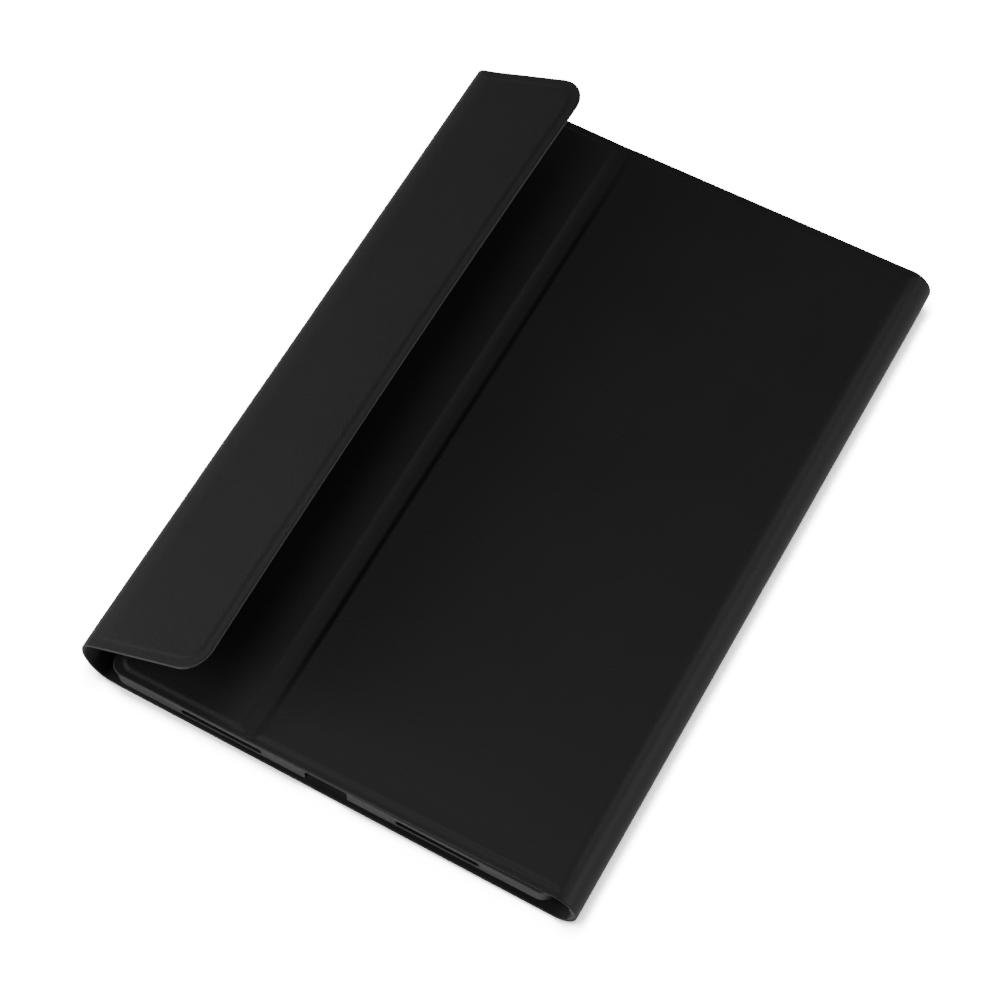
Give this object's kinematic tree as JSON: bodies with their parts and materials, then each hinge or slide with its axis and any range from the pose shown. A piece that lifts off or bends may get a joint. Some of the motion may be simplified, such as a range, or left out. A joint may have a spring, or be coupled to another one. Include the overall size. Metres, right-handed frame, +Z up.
{
  "type": "tablet keyboard case",
  "caption": "Folding tablet cover with a closure flap, stand panel, bowed spine, tablet tray with speaker slots, and a thin keyboard inside.",
  "frame": {"origin": "on the floor, under the middle of the closed case's bounding box", "axes": "+Z up; +Y along the long side; +X from the closure flap's side towards the spine"},
  "size_m": [0.1754, 0.254, 0.0426],
  "materials": {
    "outer_skin": "fine matte black PU leather",
    "lining": "black microfibre lining",
    "board": "pressed fibre board, inside the panels",
    "magnet": "nickel-plated flat magnet",
    "steel": "thin pressed steel",
    "tape": "double-sided adhesive film",
    "tray_plastic": "fine-textured dark grey moulded plastic",
    "keyboard_plastic": "fine-textured black moulded plastic",
    "key_plastic": "smooth matte black moulded plastic",
    "circuit": "green circuit laminate",
    "membrane": "translucent grey dome sheet",
    "battery": "foil pouch cell",
    "lens": "clear light pipe"
  },
  "bodies": {
    "front_cover": {"front_cover_skin": "outer_skin", "front_cover_board": "board", "front_cover_lining": "lining", "keyboard_tape": "tape", "keyboard_base": "keyboard_plastic", "keyboard_frame": "keyboard_plastic", "keyboard_circuit_board": "circuit", "key_membrane": "membrane", "keyboard_battery": "battery", "charge_socket": "steel", "status_lens": "lens"},
    "flap_strip_1": {"flap_strip_skin_1": "outer_skin", "flap_strip_lining_1": "lining"},
    "flap_strip_2": {"flap_strip_skin_2": "outer_skin", "flap_strip_lining_2": "lining"},
    "flap_strip_3": {"flap_strip_skin_3": "outer_skin", "flap_strip_lining_3": "lining"},
    "flap": {"flap_skin": "outer_skin", "flap_board": "board", "flap_lining": "lining", "flap_magnet_left": "magnet", "flap_magnet_right": "magnet"},
    "spine": {"spine_skin": "outer_skin", "spine_board": "board", "spine_lining": "lining"},
    "stand_panel": {"stand_panel_skin": "outer_skin", "stand_panel_board": "board", "stand_panel_lining": "lining"},
    "tablet_panel": {"tablet_panel_skin": "outer_skin", "tablet_panel_board": "board", "closure_keeper_plate": "steel", "tray_adhesive": "tape", "groove_skin": "outer_skin", "tablet_tray": "tray_plastic"},
    "power_switch": {"power_switch": "key_plastic"},
    "key_left_control": {"key_left_control": "key_plastic"},
    "key_function": {"key_function": "key_plastic"},
    "key_left_option": {"key_left_option": "key_plastic"},
    "key_left_command": {"key_left_command": "key_plastic"},
    "key_space": {"key_space": "key_plastic"},
    "key_right_option": {"key_right_option": "key_plastic"},
    "key_right_control": {"key_right_control": "key_plastic"},
    "key_arrow_left": {"key_arrow_left": "key_plastic"},
    "key_arrow_down": {"key_arrow_down": "key_plastic"},
    "key_arrow_right": {"key_arrow_right": "key_plastic"},
    "key_left_shift": {"key_left_shift": "key_plastic"},
    "keys_bottom_letters": {"keys_bottom_letters": "key_plastic"},
    "key_arrow_up": {"key_arrow_up": "key_plastic"},
    "key_right_shift": {"key_right_shift": "key_plastic"},
    "key_caps_lock": {"key_caps_lock": "key_plastic"},
    "keys_middle_letters": {"keys_middle_letters": "key_plastic"},
    "key_enter": {"key_enter": "key_plastic"},
    "key_tab": {"key_tab": "key_plastic"},
    "keys_top_letters": {"keys_top_letters": "key_plastic"},
    "key_backslash": {"key_backslash": "key_plastic"},
    "keys_numbers": {"keys_numbers": "key_plastic"},
    "key_backspace": {"key_backspace": "key_plastic"},
    "keys_function_row": {"keys_function_row": "key_plastic"}
  },
  "joints": [
    {"name": "spine_lower_fold", "type": "hinge", "parent": "front_cover", "child": "spine", "pos_m": [0.0802, 0, 0], "axis": [0, 1, 0], "range_deg": [0, 18]},
    {"name": "spine_upper_fold", "type": "hinge", "parent": "spine", "child": "stand_panel", "pos_m": [0.0799, 0, 0.0163], "axis": [0, 1, 0], "range_deg": [0, 27.1]},
    {"name": "stand_fold", "type": "hinge", "parent": "stand_panel", "child": "tablet_panel", "pos_m": [-0.0249, 0, 0.0112], "axis": [0, 1, 0], "range_deg": [0, 1.8]},
    {"name": "flap_strip_fold_1", "type": "hinge", "parent": "front_cover", "child": "flap_strip_1", "pos_m": [-0.0775, 0, 0], "axis": [0, -1, 0], "range_deg": [0, 39]},
    {"name": "flap_strip_fold_2", "type": "hinge", "parent": "flap_strip_1", "child": "flap_strip_2", "pos_m": [-0.0852, 0, 0.006], "axis": [0, -1, 0], "range_deg": [0, 35]},
    {"name": "flap_strip_fold_3", "type": "hinge", "parent": "flap_strip_2", "child": "flap_strip_3", "pos_m": [-0.0874, 0, 0.0134], "axis": [0, -1, 0], "range_deg": [0, 44]},
    {"name": "flap_fold", "type": "hinge", "parent": "flap_strip_3", "child": "flap", "pos_m": [-0.0828, 0, 0.0206], "axis": [0, -1, 0], "range_deg": [-36.5, 30]},
    {"name": "power_switch_slide", "type": "slide", "parent": "front_cover", "child": "power_switch", "axis": [0, 1, 0], "range_m": [0, 0.0024]},
    {"name": "key_left_control_press", "type": "slide", "parent": "front_cover", "child": "key_left_control", "axis": [0, 0, -1], "range_m": [0, 0.0011], "stiffness_N_per_m": 400, "springref_m": -0.0002},
    {"name": "key_function_press", "type": "slide", "parent": "front_cover", "child": "key_function", "axis": [0, 0, -1], "range_m": [0, 0.0011], "stiffness_N_per_m": 400, "springref_m": -0.0002},
    {"name": "key_left_option_press", "type": "slide", "parent": "front_cover", "child": "key_left_option", "axis": [0, 0, -1], "range_m": [0, 0.0011], "stiffness_N_per_m": 400, "springref_m": -0.0002},
    {"name": "key_left_command_press", "type": "slide", "parent": "front_cover", "child": "key_left_command", "axis": [0, 0, -1], "range_m": [0, 0.0011], "stiffness_N_per_m": 400, "springref_m": -0.0002},
    {"name": "key_space_press", "type": "slide", "parent": "front_cover", "child": "key_space", "axis": [0, 0, -1], "range_m": [0, 0.0011], "stiffness_N_per_m": 800, "springref_m": -0.0002},
    {"name": "key_right_option_press", "type": "slide", "parent": "front_cover", "child": "key_right_option", "axis": [0, 0, -1], "range_m": [0, 0.0011], "stiffness_N_per_m": 400, "springref_m": -0.0002},
    {"name": "key_right_control_press", "type": "slide", "parent": "front_cover", "child": "key_right_control", "axis": [0, 0, -1], "range_m": [0, 0.0011], "stiffness_N_per_m": 400, "springref_m": -0.0002},
    {"name": "key_arrow_left_press", "type": "slide", "parent": "front_cover", "child": "key_arrow_left", "axis": [0, 0, -1], "range_m": [0, 0.0011], "stiffness_N_per_m": 400, "springref_m": -0.0002},
    {"name": "key_arrow_down_press", "type": "slide", "parent": "front_cover", "child": "key_arrow_down", "axis": [0, 0, -1], "range_m": [0, 0.0011], "stiffness_N_per_m": 400, "springref_m": -0.0002},
    {"name": "key_arrow_right_press", "type": "slide", "parent": "front_cover", "child": "key_arrow_right", "axis": [0, 0, -1], "range_m": [0, 0.0011], "stiffness_N_per_m": 400, "springref_m": -0.0002},
    {"name": "key_left_shift_press", "type": "slide", "parent": "front_cover", "child": "key_left_shift", "axis": [0, 0, -1], "range_m": [0, 0.0011], "stiffness_N_per_m": 400, "springref_m": -0.0002},
    {"name": "keys_bottom_letters_press", "type": "slide", "parent": "front_cover", "child": "keys_bottom_letters", "axis": [0, 0, -1], "range_m": [0, 0.0011], "stiffness_N_per_m": 3600, "springref_m": -0.0002},
    {"name": "key_arrow_up_press", "type": "slide", "parent": "front_cover", "child": "key_arrow_up", "axis": [0, 0, -1], "range_m": [0, 0.0011], "stiffness_N_per_m": 400, "springref_m": -0.0002},
    {"name": "key_right_shift_press", "type": "slide", "parent": "front_cover", "child": "key_right_shift", "axis": [0, 0, -1], "range_m": [0, 0.0011], "stiffness_N_per_m": 400, "springref_m": -0.0002},
    {"name": "key_caps_lock_press", "type": "slide", "parent": "front_cover", "child": "key_caps_lock", "axis": [0, 0, -1], "range_m": [0, 0.0011], "stiffness_N_per_m": 400, "springref_m": -0.0002},
    {"name": "keys_middle_letters_press", "type": "slide", "parent": "front_cover", "child": "keys_middle_letters", "axis": [0, 0, -1], "range_m": [0, 0.0011], "stiffness_N_per_m": 4000, "springref_m": -0.0002},
    {"name": "key_enter_press", "type": "slide", "parent": "front_cover", "child": "key_enter", "axis": [0, 0, -1], "range_m": [0, 0.0011], "stiffness_N_per_m": 400, "springref_m": -0.0002},
    {"name": "key_tab_press", "type": "slide", "parent": "front_cover", "child": "key_tab", "axis": [0, 0, -1], "range_m": [0, 0.0011], "stiffness_N_per_m": 400, "springref_m": -0.0002},
    {"name": "keys_top_letters_press", "type": "slide", "parent": "front_cover", "child": "keys_top_letters", "axis": [0, 0, -1], "range_m": [0, 0.0011], "stiffness_N_per_m": 4400, "springref_m": -0.0002},
    {"name": "key_backslash_press", "type": "slide", "parent": "front_cover", "child": "key_backslash", "axis": [0, 0, -1], "range_m": [0, 0.0011], "stiffness_N_per_m": 400, "springref_m": -0.0002},
    {"name": "keys_numbers_press", "type": "slide", "parent": "front_cover", "child": "keys_numbers", "axis": [0, 0, -1], "range_m": [0, 0.0011], "stiffness_N_per_m": 4800, "springref_m": -0.0002},
    {"name": "key_backspace_press", "type": "slide", "parent": "front_cover", "child": "key_backspace", "axis": [0, 0, -1], "range_m": [0, 0.0011], "stiffness_N_per_m": 400, "springref_m": -0.0002},
    {"name": "keys_function_row_press", "type": "slide", "parent": "front_cover", "child": "keys_function_row", "axis": [0, 0, -1], "range_m": [0, 0.0011], "stiffness_N_per_m": 5600, "springref_m": -0.0002}
  ],
  "couplings": [
    {"joint": "spine_upper_fold", "follows": "spine_lower_fold", "ratio": 1.5},
    {"joint": "flap_strip_fold_1", "follows": "spine_lower_fold", "ratio": 2.166},
    {"joint": "flap_strip_fold_2", "follows": "spine_lower_fold", "ratio": 1.944},
    {"joint": "flap_strip_fold_3", "follows": "spine_lower_fold", "ratio": 2.444}
  ]
}
